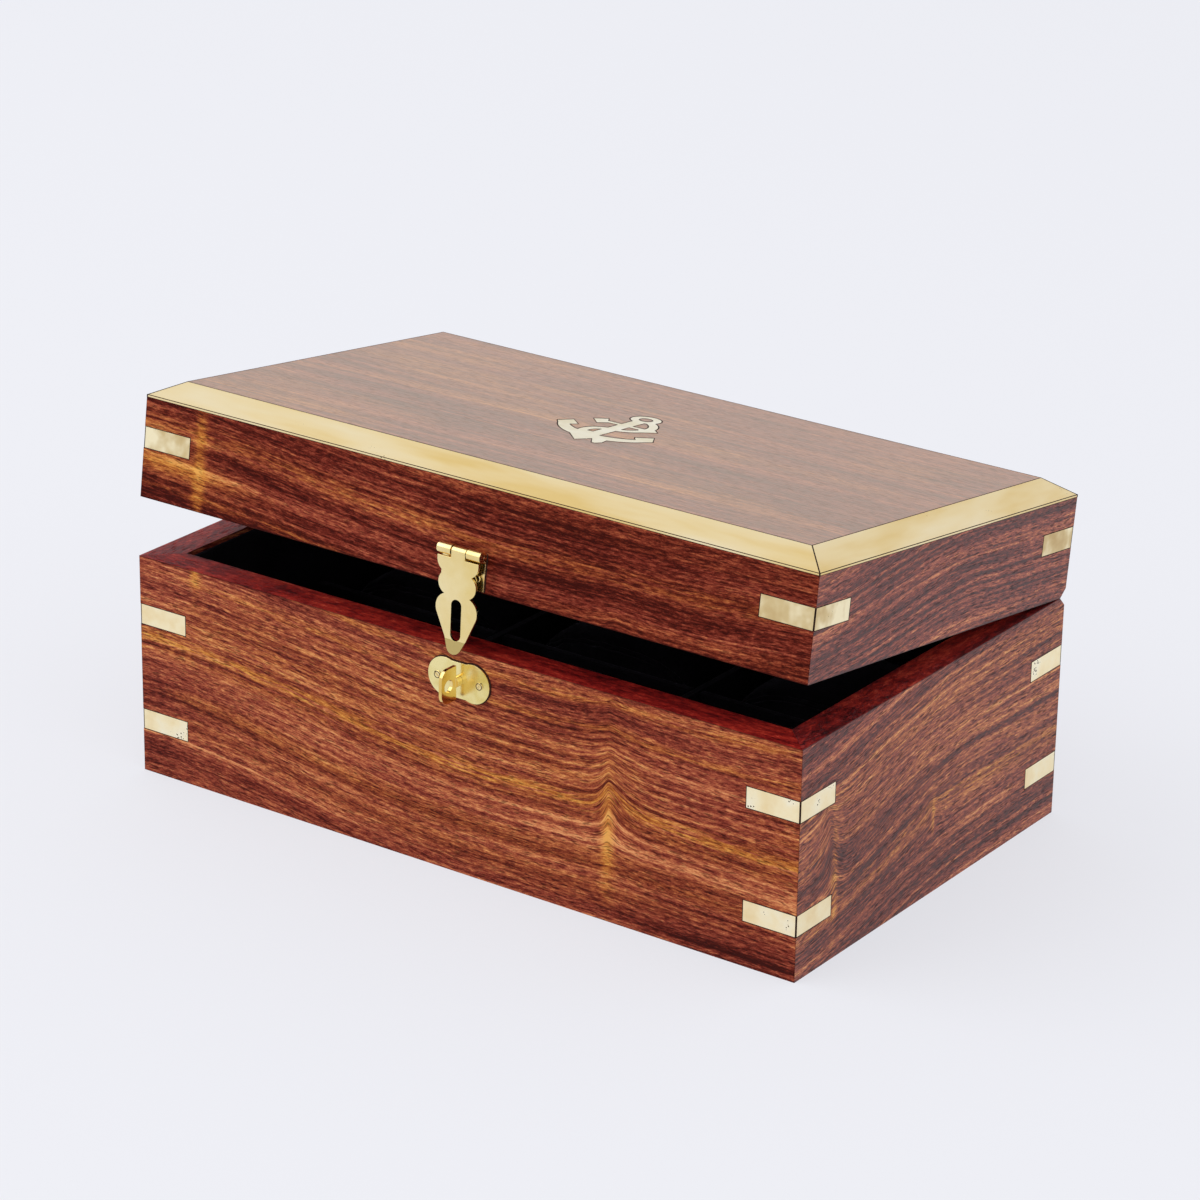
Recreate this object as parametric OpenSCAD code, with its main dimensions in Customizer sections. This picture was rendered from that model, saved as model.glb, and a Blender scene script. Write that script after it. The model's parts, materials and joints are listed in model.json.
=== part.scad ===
// Brass-bound wooden watch box with a hinged lid, a slotted hasp and a turning staple.
// Millimetres. X runs to the right, the front faces -Y and Z is up.
// The origin is the middle of the underside. Lid pieces are drawn shut, with z measured
// from the seam, and on_lid() stands them open.

/* [Box] */
// Outside width, left to right
box_w = 254; // [200:1:320]
// Outside depth, front to back
box_d = 152.4; // [120:0.2:200]
// Height of the lower box, from the underside to the seam
base_h = 75.2; // [60:0.2:100]
// Height of the lid's upright sides, from the seam to the brass edge
lid_h = 32.8; // [26:0.2:50]
// Thickness of the wooden walls
wall_t = 10.8; // [9:0.2:14]
// Thickness of the bottom board
bottom_t = 6; // [4:0.5:10]
// Depth of the ledge in the walls that carries the bottom board
bottom_ledge = 5; // [3:0.5:7]
// How far the lid stands open, in degrees
lid_open = 7.6; // [0:0.1:103]

/* [Lid edge] */
// Width of the sloping brass edge, measured level
edge_run = 8.9; // [6:0.1:12]
// Height of the brass edge with its lip, which is also the lid board's thickness
edge_rise = 5.6; // [4:0.1:9]
// Height of the upright lip below the sloping brass edge
edge_lip = 0.7; // [0.3:0.1:0.8]
// Thickness of the brass edge strips
edge_t = 1.2; // [0.8:0.1:2]

/* [Corner brass] */
// Length of a corner strip along each wall
corner_leg = 19; // [12:0.5:30]
// Height of a corner strip
corner_h = 7; // [4:0.5:12]
// Thickness of a corner strip, let in flush
corner_t = 1.5; // [1:0.1:3]
// Open joint between the two strips of a corner
corner_gap = 0.4; // [0.1:0.1:1]
// Height of the lower strips' middle above the underside
corner_low_z = 18.3; // [10:0.1:25]
// Distance of the upper strips' middle below the seam
corner_high_drop = 20; // [12:0.1:30]
// Height of the lid strips' middle above the seam
corner_lid_z = 19.7; // [8:0.1:22]

/* [Anchor inlay] */
// Height of the anchor, ring to crown
anchor_h = 47; // [30:1:60]
// Thickness of the anchor, let in flush
anchor_t = 1.2; // [0.8:0.1:2]
// How far the anchor's middle lies behind the middle of the lid
anchor_back = 2; // [-10:0.5:10]
// How far the anchor is turned anticlockwise, in degrees
anchor_turn = 2; // [-5:0.5:5]

/* [Rear seam and hinges] */
// Size of the 45 degree chamfer on both sides of the rear seam
seam_chamfer = 2.9; // [2.5:0.1:4]
// Distance of the hinge axis behind the chamfers' inner edge
axis_back = 0.8; // [0.6:0.1:1]
// Length of each hinge
hinge_w = 25; // [20:1:40]
// Distance of each hinge from the middle of the box
hinge_x = 76; // [50:1:80]
// Outside radius of the hinge knuckles
knuckle_r = 1.5; // [1.4:0.1:1.7]
// Radius of the hinge pins
pin_r = 0.8; // [0.6:0.05:0.9]
// Thickness of the hinge leaves
leaf_t = 0.9; // [0.8:0.1:1]
// Distance from a hinge leaf's inner edge to the inside of the wall
leaf_inset = 0.7; // [0.4:0.1:2]
// Distance of each hinge screw from the middle of its hinge
hinge_screw_x = 8; // [6:0.5:9]
// Length of the hinge screws
hinge_screw_l = 8; // [6:0.5:10]

/* [Hasp] */
// Distance of the hasp and its staple to the right of the middle
hasp_x = 2.6; // [-20:0.1:20]
// Width of the hasp's hinge
hasp_w = 16.2; // [14:0.2:20]
// Height of the hasp's pin above the seam
hasp_pin_z = 11.7; // [11:0.1:13]
// Distance of the hasp's pin in front of the wall
hasp_pin_y = 2.6; // [2.4:0.1:3]
// Outside radius of the hasp's knuckles
hasp_knuckle_r = 1.75; // [1.6:0.05:1.8]
// Gap between two of the hasp's knuckles
hasp_gap = 0.4; // [0.15:0.05:0.5]
// Radius of the hasp's pin
hasp_pin_r = 0.8; // [0.6:0.05:0.9]
// Thickness of the hasp's plates
hasp_t = 0.8; // [0.6:0.1:0.9]
// Height of the hasp's back plate below its pin
hasp_plate_h = 11.1; // [9:0.1:11.4]
// Width of the leaf's middle knuckle
hasp_tongue_w = 6; // [4:0.2:8]
// Length of the leaf from its pin to its tip
hasp_leaf_l = 32.3; // [30:0.1:36]
// Room in the slot on each side of the staple's collar
slot_side = 0.25; // [0.2:0.05:0.5]
// Room in the slot above and below the staple's ear
slot_end = 1; // [0.8:0.1:1.2]
// Length of the leaf's turned-up tip
tip_l = 4.7; // [3:0.1:6]
// Angle of the leaf's turned-up tip
tip_bend = 14; // [0:1:25]
// Room between the shut leaf's fold and the staple plate
fold_room = 0.3; // [0.2:0.1:0.6]

/* [Staple] */
// Distance of the staple below the seam
catch_drop = 9.9; // [9:0.1:12]
// Width of the staple plate
catch_w = 23.4; // [22:0.2:30]
// Height of the staple plate
catch_h = 12.8; // [12:0.2:14]
// Thickness of the staple plate
catch_t = 0.8; // [0.6:0.1:0.9]
// Depth of the dip between the staple plate's two lobes
catch_waist = 0.5; // [0:0.1:1]
// Distance of each plate screw from the staple
catch_screw_x = 8; // [7.5:0.1:9]
// Height of the staple's ear
ear_h = 11.3; // [10:0.1:11.4]
// How far the staple's ear stands out from its plate
ear_out = 9.2; // [8.8:0.1:9.6]
// Thickness of the staple's ear
ear_t = 1.1; // [0.8:0.1:1.4]
// Corner radius of the ear
ear_corner = 3.4; // [2.5:0.1:4]
// Radius of the padlock hole in the ear
ear_hole_r = 2.05; // [1.5:0.05:2.2]
// Distance from the staple plate to the middle of the padlock hole
ear_hole_out = 5.7; // [5.4:0.1:6]
// Room between the shut leaf and the ear turned across it
ear_room = 0.25; // [0.2:0.05:0.5]
// Radius of the collar between the plate and the ear
collar_r = 1.7; // [1.5:0.05:1.75]
// Radius of the rivet that the staple turns on
rivet_r = 1.2; // [1:0.05:1.3]

/* [Screws] */
// Head radius of the slotted screws on the hasp and the staple
screw_head_r = 1.25; // [1:0.05:1.4]
// Height of those heads
screw_head_h = 0.35; // [0.3:0.05:0.6]
// Shank radius of all the screws
screw_r = 0.75; // [0.6:0.05:0.9]
// Length of the hasp and staple screws in the wood
screw_l = 7; // [5:0.5:8]

/* [Lining and cushions] */
// Thickness of the velvet lining
lining_t = 1.5; // [1:0.1:3]
// How far the lining stops short of the seam
lining_set = 1.5; // [0.5:0.1:4]
// Thickness of the dividers
divider_t = 3; // [2:0.5:5]
// Height of the dividers
divider_h = 38; // [20:1:45]
// Height of a watch cushion
cushion_h = 42; // [25:1:46]
// Clear space between a cushion and what is round it
cushion_gap = 2; // [1:0.5:5]

/* [Hidden] */

$fn = 48;
eps = 0.01;
overcut = 1;

wood = "#7a3420";
rim_wood = "#7c1522";
brass = "#d9c788";
velvet = "#17151a";

// Fits
leaf_gap = 0.05;      // hinge leaf to the seam plane
knuckle_side = 0.15;  // end play between two knuckles
knuckle_room = 0.3;   // wood to hinge knuckle
pin_fit = 0.05;       // pin in the knuckle that turns on it
staple_fit = 0.05;    // rivet in its plate
divider_fit = 0.2;    // divider to lining, and divider to divider

half_w = box_w / 2;
half_d = box_d / 2;
inner_w = box_w - 2 * wall_t;
inner_d = box_d - 2 * wall_t;
hinge_y = half_d - seam_chamfer + axis_back;
leaf_d = wall_t - seam_chamfer + axis_back - leaf_inset;
slope = atan((edge_rise - edge_lip) / edge_run);
corner_high_z = base_h - corner_high_drop;

// Hasp and staple, shut. Distances run down from the hasp's pin and out from the wall.
catch_z = base_h - catch_drop;
pin_to_staple = hasp_pin_z + catch_drop;
leaf_knuckle_r = hasp_knuckle_r - 0.2;
leaf_front = leaf_knuckle_r - 0.03;
leaf_fold = hasp_leaf_l - tip_l;
hasp_lean = asin((hasp_pin_y + leaf_front - hasp_t - catch_t - fold_room) / leaf_fold);
ear_stand = hasp_pin_y + leaf_front - (pin_to_staple - ear_t / 2) * sin(hasp_lean) + ear_room - catch_t;
slot_w = 2 * (collar_r + slot_side);
slot_top = pin_to_staple - ear_h / 2 - slot_end;
slot_l = ear_h + 2 * slot_end;

// Inside
room_w = inner_w - 2 * lining_t;
room_d = inner_d - 2 * lining_t;
floor_z = bottom_t + lining_t;
cell_w = (room_w - 2 * divider_t) / 3;
cell_d = (room_d - divider_t) / 2;
cross_x = (cell_w + divider_t) / 2;

// Leaf outline: three pairs of lobes and a round tip, as [x, distance below the pin, radius]
leaf_top = hasp_knuckle_r + 0.2;
shoulder = [hasp_w / 2 - 4.5, 3, 4.15];
upper_lobe = [hasp_w / 2 - 5, 10.2, 4];
lower_lobe = [hasp_w / 2 - 5.1, 18.3, 4.8];
tip_r = 2.9;
tip = [0, hasp_leaf_l - tip_r, tip_r];

// ---- helpers ----

// Angle of the outer tangent from circle a to circle b
function tangent(a, b) =
  let (dx = b[0] - a[0], dy = b[1] - a[1], d = norm([dx, dy]))
  atan2(dy, dx) - acos((a[2] - b[2]) / d);

function point_at(c, a) = [c[0] + c[2] * cos(a), c[1] + c[2] * sin(a)];

// Stands the shut lid open about the hinge axis
module on_lid() {
  translate([0, hinge_y, base_h])
    rotate([-lid_open, 0, 0])
      translate([0, -hinge_y, 0])
        children();
}

module at_hasp_pin() {
  translate([hasp_x, -half_d - hasp_pin_y, hasp_pin_z]) children();
}

module at_staple() {
  translate([hasp_x, -half_d, catch_z]) children();
}

// Plan of one mitred side, reaching inwards from the outside face
module plan(side, reach) {
  front = [[-half_w, -half_d], [half_w, -half_d], [half_w - reach, reach - half_d], [reach - half_w, reach - half_d]];
  right = [[half_w, -half_d], [half_w, half_d], [half_w - reach, half_d - reach], [half_w - reach, reach - half_d]];
  if (side == "front") polygon(front);
  if (side == "back") mirror([0, 1, 0]) polygon(front);
  if (side == "right") polygon(right);
  if (side == "left") mirror([1, 0, 0]) polygon(right);
}

// A profile run along one side. Its points are [inwards from the outside face, height].
module along(side, profile) {
  if (side == "front")
    rotate([90, 0, 90])
      linear_extrude(box_w + 2 * overcut, center = true)
        polygon([for (p = profile) [p[0] - half_d, p[1]]]);
  if (side == "back") mirror([0, 1, 0]) along("front", profile);
  if (side == "right")
    rotate([90, 0, 0])
      linear_extrude(box_d + 2 * overcut, center = true)
        polygon([for (p = profile) [half_w - p[0], p[1]]]);
  if (side == "left") mirror([1, 0, 0]) along("right", profile);
}

// Ring of upright sheet inside a wall, from low to high
module lining_ring(low, high) {
  translate([0, 0, low])
    linear_extrude(high - low)
      difference() {
        square([inner_w, inner_d], center = true);
        square([room_w, room_d], center = true);
      }
}

// ---- wooden walls ----

module corner_pockets(z) {
  for (sx = [0, 1], sy = [0, 1])
    mirror([sx, 0, 0]) mirror([0, sy, 0])
      translate([0, 0, z - corner_h / 2]) {
        translate([half_w - corner_leg, half_d - corner_t, 0])
          cube([corner_leg + overcut, corner_t + overcut, corner_h]);
        translate([half_w - corner_t, half_d - corner_leg, 0])
          cube([corner_t + overcut, corner_leg + overcut, corner_h]);
      }
}

// Groove along the rear seam, drawn about the seam plane
module seam_groove() {
  along("back", [[seam_chamfer, 0], [-overcut, seam_chamfer + overcut], [-overcut, -seam_chamfer - overcut]]);
}

module base_wall(side) {
  color(wood)
    difference() {
      linear_extrude(base_h) plan(side, wall_t);
      translate([-inner_w / 2 - bottom_ledge, -inner_d / 2 - bottom_ledge, -overcut])
        cube([inner_w + 2 * bottom_ledge, inner_d + 2 * bottom_ledge, bottom_t + overcut]);
      corner_pockets(corner_low_z);
      corner_pockets(corner_high_z);
      translate([0, 0, base_h]) seam_groove();
      if (side == "back") translate([0, 0, base_h]) hinge_pockets();
      if (side == "front") at_staple() {
        catch_screw_pair();
        rivet_pocket();
      }
    }
}

module lid_wall(side) {
  color(wood)
    on_lid()
      difference() {
        linear_extrude(lid_h) plan(side, wall_t);
        corner_pockets(corner_lid_z);
        seam_groove();
        if (side == "back") mirror([0, 0, 1]) hinge_pockets();
        if (side == "front") at_hasp_pin() hasp_screw_pair();
      }
}

module base_bottom() {
  color(wood)
    translate([-inner_w / 2 - bottom_ledge, -inner_d / 2 - bottom_ledge, 0])
      cube([inner_w + 2 * bottom_ledge, inner_d + 2 * bottom_ledge, bottom_t]);
}

// Section of the edge strip: [level, up] from the lid's outside face and the seam
edge_low = [0, lid_h];
edge_fold = [0, lid_h + edge_lip];
edge_high = [edge_run, lid_h + edge_rise];
edge_inner = edge_high + edge_t * [sin(slope), -cos(slope)];
edge_foot = [(edge_t - edge_lip * cos(slope)) / sin(slope), lid_h];

module lid_board() {
  outside = [
    edge_foot, edge_inner, edge_high, edge_high + [0, overcut],
    [-overcut, edge_high[1] + overcut], [-overcut, lid_h - overcut], [edge_foot[0], lid_h - overcut]
  ];
  color(wood)
    on_lid()
      difference() {
        translate([-half_w, -half_d, lid_h]) cube([box_w, box_d, edge_rise]);
        for (side = ["front", "back", "left", "right"]) along(side, outside);
        anchor_plate(overcut);
      }
}

// ---- brass bindings ----

module edge_strip(side) {
  color(brass)
    on_lid()
      intersection() {
        along(side, [edge_low, edge_fold, edge_high, edge_inner, edge_foot]);
        linear_extrude(lid_h + edge_rise + overcut) plan(side, edge_run + edge_t);
      }
}

// The two strips of one corner, mitred with an open joint
module corner_strips(z, right, back) {
  g = corner_gap / sqrt(2);
  strip = [
    [half_w - corner_leg, half_d], [half_w - g, half_d],
    [half_w - g - corner_t, half_d - corner_t], [half_w - corner_leg, half_d - corner_t]
  ];
  other = [
    [half_w, half_d - g], [half_w, half_d - corner_leg],
    [half_w - corner_t, half_d - corner_leg], [half_w - corner_t, half_d - g - corner_t]
  ];
  color(brass)
    mirror([right ? 0 : 1, 0, 0]) mirror([0, back ? 0 : 1, 0])
      translate([0, 0, z - corner_h / 2])
        linear_extrude(corner_h) {
          polygon(strip);
          polygon(other);
        }
}

// ---- anchor ----

// Flat band that follows an arc of less than half a turn, as [x, y, radius]
module arc_band(c, a0, a1, w) {
  far = 2 * c[2] / cos((a1 - a0) / 4);
  mid = (a0 + a1) / 2;
  translate([c[0], c[1]])
    intersection() {
      difference() {
        circle(c[2] + w / 2);
        circle(c[2] - w / 2);
      }
      polygon([[0, 0], far * [cos(a0), sin(a0)], far * [cos(mid), sin(mid)], far * [cos(a1), sin(a1)]]);
    }
}

// The same outline on the other side of x = 0, still anticlockwise
function flipped(outline) = [for (i = [len(outline) - 1:-1:0]) [-outline[i][0], outline[i][1]]];

// Fouled anchor, drawn 47 high with its middle at the origin
module anchor_outline() {
  ring = [0, 18.3];
  diamond = [[12.2, 6.1], [8.6, 9.8], [5.6, 4.7], [8, 1.6]];
  difference() {
    union() {
      translate(ring) circle(5.2);
      translate([-2.25, -20]) square([4.5, 35]);
      // stock with a diamond at each end
      translate([-8.6, 4.75]) square([17.2, 2.5]);
      polygon(diamond);
      polygon(flipped(diamond));
      anchor_arms();
      anchor_rope();
    }
    translate(ring) circle(2.1);
  }
}

module anchor_arms() {
  fluke = [[15.2, -0.6], [10.6, -5], [12, -7.2], [16.6, -8], [18.1, -6]];
  difference() {
    translate([0, 0.3]) circle(18.5);
    translate([0, 5]) circle(17.4);
    translate([-20, -6.9]) square([40, 40]);
  }
  polygon([[-6.2, -17], [0, -23.5], [3, -18], [4, -15], [-4, -15]]);
  polygon(fluke);
  polygon(flipped(fluke));
}

// Rope that falls from the ring, crosses the shank twice and ends beside the crown
module anchor_rope() {
  w = 3.3;
  arc_band([-1.4, 7.3, 9.5], -72, 62, w);
  arc_band([1, -8.6, 6.8], 84, 235, w);
  polygon([[-6.6, -9.6], [-4, -15], [0, -14], [-2, -9.4]]);
  polygon([[4, -14], [3, -18], [5.6, -22.4], [6.9, -22.3], [8.1, -20], [7.2, -14.5]]);
}

module anchor_plate(above = 0) {
  translate([0, anchor_back, lid_h + edge_rise - anchor_t])
    linear_extrude(anchor_t + above)
      rotate(anchor_turn)
        scale(anchor_h / 47)
          anchor_outline();
}

module anchor_inlay() {
  color(brass) on_lid() anchor_plate();
}

// ---- lining, dividers and cushions ----

module base_floor_lining() {
  color(velvet)
    translate([-inner_w / 2, -inner_d / 2, bottom_t]) cube([inner_w, inner_d, lining_t]);
}

module base_wall_lining() {
  color(velvet) lining_ring(floor_z, base_h - lining_set);
}

module lid_ceiling_lining() {
  color(velvet)
    on_lid()
      translate([-inner_w / 2, -inner_d / 2, lid_h - lining_t]) cube([inner_w, inner_d, lining_t]);
}

module lid_wall_lining() {
  color(velvet) on_lid() lining_ring(lining_set, lid_h - lining_t);
}

// Notches that halve the dividers together, open downwards or upwards from mid height
module lap_notch(x, y, up) {
  notch = divider_t + divider_fit;
  translate([x - notch / 2, y - notch / 2, floor_z + (up ? divider_h / 2 : -overcut)])
    cube([notch, notch, divider_h / 2 + overcut]);
}

module divider_long() {
  l = room_w - 2 * divider_fit;
  color(velvet)
    difference() {
      translate([-l / 2, -divider_t / 2, floor_z]) cube([l, divider_t, divider_h]);
      for (x = [-cross_x, cross_x]) lap_notch(x, 0, true);
    }
}

module divider_cross(x) {
  l = room_d - 2 * divider_fit;
  color(velvet)
    difference() {
      translate([x - divider_t / 2, -l / 2, floor_z]) cube([divider_t, l, divider_h]);
      lap_notch(x, 0, false);
    }
}

// Oval roll, with the strap's path running left to right over it
module cushion(column, row) {
  w = cell_w - 2 * cushion_gap;
  d = cell_d - 2 * cushion_gap;
  squareness = 2.6;
  oval = [
    for (i = [0:31])
      let (a = i * 360 / 32, c = cos(a), s = sin(a))
      [
        w / 2 * sign(c) * pow(abs(c), 2 / squareness),
        cushion_h / 2 * (1 + sign(s) * pow(abs(s), 2 / squareness))
      ]
  ];
  color(velvet)
    translate([column * (cell_w + divider_t), row * (cell_d + divider_t) / 2, floor_z])
      rotate([90, 0, 0])
        linear_extrude(d, center = true)
          polygon(oval);
}

// ---- rear hinges, drawn about their axis with the leaf below the seam plane ----

module hinge_screw() {
  rotate_extrude()
    polygon([
      [0, -leaf_gap], [2 * screw_r, -leaf_gap], [screw_r, -leaf_gap - screw_r],
      [screw_r, 1 - hinge_screw_l], [0, -hinge_screw_l]
    ]);
}

module hinge_screw_pair() {
  for (x = [-hinge_screw_x, hinge_screw_x]) translate([x, -leaf_d / 2 - 0.6, 0]) hinge_screw();
}

module along_axis(r, l, x = 0) {
  translate([x, 0, 0]) rotate([0, 90, 0]) cylinder(r = r, h = l, center = true);
}

module hinge_leaf(outer) {
  third = hinge_w / 3;
  turning = outer ? 0 : pin_fit;
  color(brass)
    difference() {
      union() {
        translate([-hinge_w / 2, -leaf_d, -leaf_gap - leaf_t]) cube([hinge_w, leaf_d, leaf_t]);
        along_axis(knuckle_r, hinge_w);
      }
      if (outer) along_axis(knuckle_r + knuckle_room / 2, third + knuckle_side);
      if (!outer)
        for (s = [-1, 1])
          along_axis(knuckle_r + knuckle_room / 2, third + overcut + knuckle_side / 2,
                     s * (third + overcut / 2 - knuckle_side / 4));
      along_axis(pin_r + turning, hinge_w + overcut);
      hinge_screw_pair();
    }
}

// Wood cut away in one side of the seam for both hinges
module hinge_pockets() {
  for (x = [-hinge_x, hinge_x])
    translate([x, hinge_y, 0]) {
      along_axis(knuckle_r + knuckle_room, hinge_w + 2 * knuckle_room);
      translate([-hinge_w / 2, -leaf_d, -leaf_gap - leaf_t])
        cube([hinge_w, leaf_d + overcut, leaf_t + leaf_gap + overcut]);
      hinge_screw_pair();
    }
}

module at_hinge(s) {
  translate([s * hinge_x, hinge_y, 0]) children();
}

module hinge_base_leaf(s) {
  translate([0, 0, base_h]) at_hinge(s) hinge_leaf(true);
}

module hinge_lid_leaf(s) {
  on_lid() at_hinge(s) mirror([0, 0, 1]) hinge_leaf(false);
}

module hinge_pin(s) {
  color(brass) translate([0, 0, base_h]) at_hinge(s) along_axis(pin_r, hinge_w);
}

module hinge_base_screws(s) {
  color(brass) translate([0, 0, base_h]) at_hinge(s) hinge_screw_pair();
}

module hinge_lid_screws(s) {
  color(brass) on_lid() at_hinge(s) mirror([0, 0, 1]) hinge_screw_pair();
}

// ---- hasp ----

// Slotted screw, its flat head bearing on y = 0 and its shank running to +Y.
// A positive turn drops the right end of its slot.
module slotted_screw(turn) {
  r = screw_head_r;
  h = screw_head_h;
  point = 1;
  rotate([-90, 0, 0]) {
    difference() {
      rotate_extrude() polygon([[0, -h], [r - 0.6 * h, -h], [r, -0.4 * h], [r, 0], [0, 0]]);
      rotate(turn) translate([-r - eps, -0.2, -h - overcut]) cube([2 * (r + eps), 0.4, overcut + 0.6 * h]);
    }
    cylinder(r = screw_r, h = screw_l - point);
    translate([0, 0, screw_l - point]) cylinder(r1 = screw_r, r2 = screw_r / 4, h = point);
  }
}

hasp_screw_x = hasp_w / 2 - 2.7;
hasp_screw_drop = 7.4;

module hasp_screw_pair() {
  for (s = [-1, 1])
    translate([s * hasp_screw_x, hasp_pin_y - hasp_t, -hasp_screw_drop]) slotted_screw(s < 0 ? -20 : 65);
}

module hasp_back_plate() {
  r = hasp_knuckle_r;
  side_w = (hasp_w - hasp_tongue_w) / 2;
  face = hasp_pin_y - hasp_t;
  // the sheet leaves the wall and rolls round the pin
  roll = [[0.6 * r, -0.6 * r], [face, -1.3 * r], [hasp_pin_y, -1.3 * r], [hasp_pin_y, 0.3 * r], [0.7 * r, 0.6 * r]];
  color(brass)
    on_lid() at_hasp_pin()
      difference() {
        union() {
          translate([-hasp_w / 2, face, -hasp_plate_h]) cube([hasp_w, hasp_t, hasp_plate_h - r]);
          for (s = [-1, 1]) {
            along_axis(r, side_w, s * (hasp_tongue_w + side_w) / 2);
            translate([s * (hasp_tongue_w + side_w) / 2, 0, 0])
              rotate([90, 0, 90]) linear_extrude(side_w, center = true) polygon(roll);
          }
        }
        along_axis(hasp_pin_r, hasp_w + overcut);
        hasp_screw_pair();
      }
}

// Right half of the leaf down to its tip, between its round lobes
module leaf_web() {
  fall = tangent(lower_lobe, tip);
  half = [
    [0, shoulder[1]], [shoulder[0], shoulder[1]], [upper_lobe[0], upper_lobe[1]], [lower_lobe[0], lower_lobe[1]],
    point_at(lower_lobe, fall), point_at(tip, fall), [0, tip[1]]
  ];
  polygon([for (p = half) [p[0], -p[1]]]);
}

module leaf_outline() {
  tongue = hasp_tongue_w / 2 - hasp_gap;
  difference() {
    for (s = [0, 1])
      mirror([s, 0]) {
        intersection() {
          translate([shoulder[0], -shoulder[1]]) circle(shoulder[2]);
          translate([0, -2 * hasp_w - shoulder[1]]) square(2 * hasp_w);
        }
        translate([-eps, -shoulder[1]]) square([shoulder[0] + shoulder[2] + eps, shoulder[1] - leaf_top]);
        for (c = [upper_lobe, lower_lobe, tip]) translate([c[0], -c[1]]) circle(c[2]);
        translate([-eps, 0]) leaf_web();
        translate([-eps, -shoulder[1] - 1]) square([tongue + eps, shoulder[1] + 1]);
      }
    for (z = [slot_top + slot_w / 2, slot_top + slot_l - slot_w / 2]) translate([0, -z]) circle(slot_w / 2);
    translate([-slot_w / 2, slot_w / 2 - slot_top - slot_l]) square([slot_w, slot_l - slot_w]);
  }
}

module hasp_leaf() {
  back = leaf_front - hasp_t;
  reach = tip_l + overcut;
  end = [-back - reach * sin(tip_bend), -leaf_fold - reach * cos(tip_bend)];
  sheet = [
    [-leaf_front, 0], [-back, 0], [-back, -leaf_fold], end,
    end + hasp_t * [-cos(tip_bend), sin(tip_bend)], [-leaf_front, hasp_t * tan(tip_bend / 2) - leaf_fold]
  ];
  color(brass)
    on_lid() at_hasp_pin() rotate([hasp_lean, 0, 0])
      difference() {
        union() {
          intersection() {
            rotate([90, 0, 90]) linear_extrude(2 * hasp_w, center = true) polygon(sheet);
            rotate([90, 0, 0]) linear_extrude(hasp_leaf_l / 4) leaf_outline();
          }
          along_axis(leaf_knuckle_r, hasp_tongue_w - 2 * hasp_gap);
        }
        along_axis(hasp_pin_r + pin_fit, hasp_w);
      }
}

module hasp_pin() {
  color(brass) on_lid() at_hasp_pin() along_axis(hasp_pin_r, hasp_w);
}

module hasp_screws() {
  color(brass) on_lid() at_hasp_pin() hasp_screw_pair();
}

// ---- staple, drawn from the wall's face outwards to -Y ----

module catch_outline() {
  lobe_r = catch_h / 2;
  lobe_x = catch_w / 2 - lobe_r;
  dip = lobe_r - catch_waist;
  for (x = [-lobe_x, lobe_x]) translate([x, 0]) circle(lobe_r);
  square([2 * lobe_x, 2 * dip], center = true);
}

module catch_screw_pair() {
  for (s = [-1, 1]) translate([s * catch_screw_x, -catch_t, 0]) slotted_screw(s < 0 ? 33 : -60);
}

rivet_head_r = rivet_r + 0.9;
rivet_head_h = 0.8;

module rivet_pocket() {
  rotate([90, 0, 0])
    translate([0, 0, -rivet_head_h - knuckle_room])
      cylinder(r = rivet_head_r + knuckle_room, h = rivet_head_h + knuckle_room + overcut);
}

module catch_plate() {
  color(brass)
    at_staple()
      difference() {
        rotate([90, 0, 0]) linear_extrude(catch_t) catch_outline();
        rotate([90, 0, 0]) cylinder(r = rivet_r + staple_fit, h = 4 * catch_t, center = true);
        catch_screw_pair();
      }
}

module catch_screws() {
  color(brass) at_staple() catch_screw_pair();
}

// Side view of the ear, measured outwards from the plate
module ear_outline() {
  c = ear_corner;
  difference() {
    union() {
      translate([ear_stand, -ear_h / 2]) square([ear_out - c - ear_stand, ear_h]);
      translate([ear_stand, c - ear_h / 2]) square([ear_out - ear_stand, ear_h - 2 * c]);
      for (s = [-1, 1]) translate([ear_out - c, s * (ear_h / 2 - c)]) circle(c);
    }
    translate([ear_hole_out, 0]) circle(ear_hole_r);
  }
}

module turning_staple() {
  front = catch_t + staple_fit;
  back = staple_fit + rivet_head_h;
  color(brass)
    at_staple()
      union() {
        translate([0, -catch_t, 0])
          rotate([90, 0, -90])
            linear_extrude(ear_t, center = true)
              ear_outline();
        // collar, rivet and its head behind the plate
        rotate([90, 0, 0]) {
          translate([0, 0, front]) cylinder(r = collar_r, h = ear_stand + 0.3);
          translate([0, 0, -back]) cylinder(r = rivet_r, h = front + back + eps);
          translate([0, 0, -back]) cylinder(r = rivet_head_r, h = rivet_head_h);
        }
      }
}

// ---- assembly ----

base_wall("front");  // base_front
base_wall("back");  // base_back
base_wall("left");  // base_left
base_wall("right");  // base_right
base_bottom();
base_floor_lining();
base_wall_lining();
divider_long();
divider_cross(-cross_x);  // divider_cross_left
divider_cross(cross_x);  // divider_cross_right
cushion(-1, -1);  // cushion_front_left
cushion(0, -1);  // cushion_front_middle
cushion(1, -1);  // cushion_front_right
cushion(-1, 1);  // cushion_back_left
cushion(0, 1);  // cushion_back_middle
cushion(1, 1);  // cushion_back_right
corner_strips(corner_low_z, false, false);  // corner_low_front_left
corner_strips(corner_low_z, true, false);  // corner_low_front_right
corner_strips(corner_low_z, false, true);  // corner_low_back_left
corner_strips(corner_low_z, true, true);  // corner_low_back_right
corner_strips(corner_high_z, false, false);  // corner_high_front_left
corner_strips(corner_high_z, true, false);  // corner_high_front_right
corner_strips(corner_high_z, false, true);  // corner_high_back_left
corner_strips(corner_high_z, true, true);  // corner_high_back_right
on_lid() corner_strips(corner_lid_z, false, false);  // corner_lid_front_left
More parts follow.
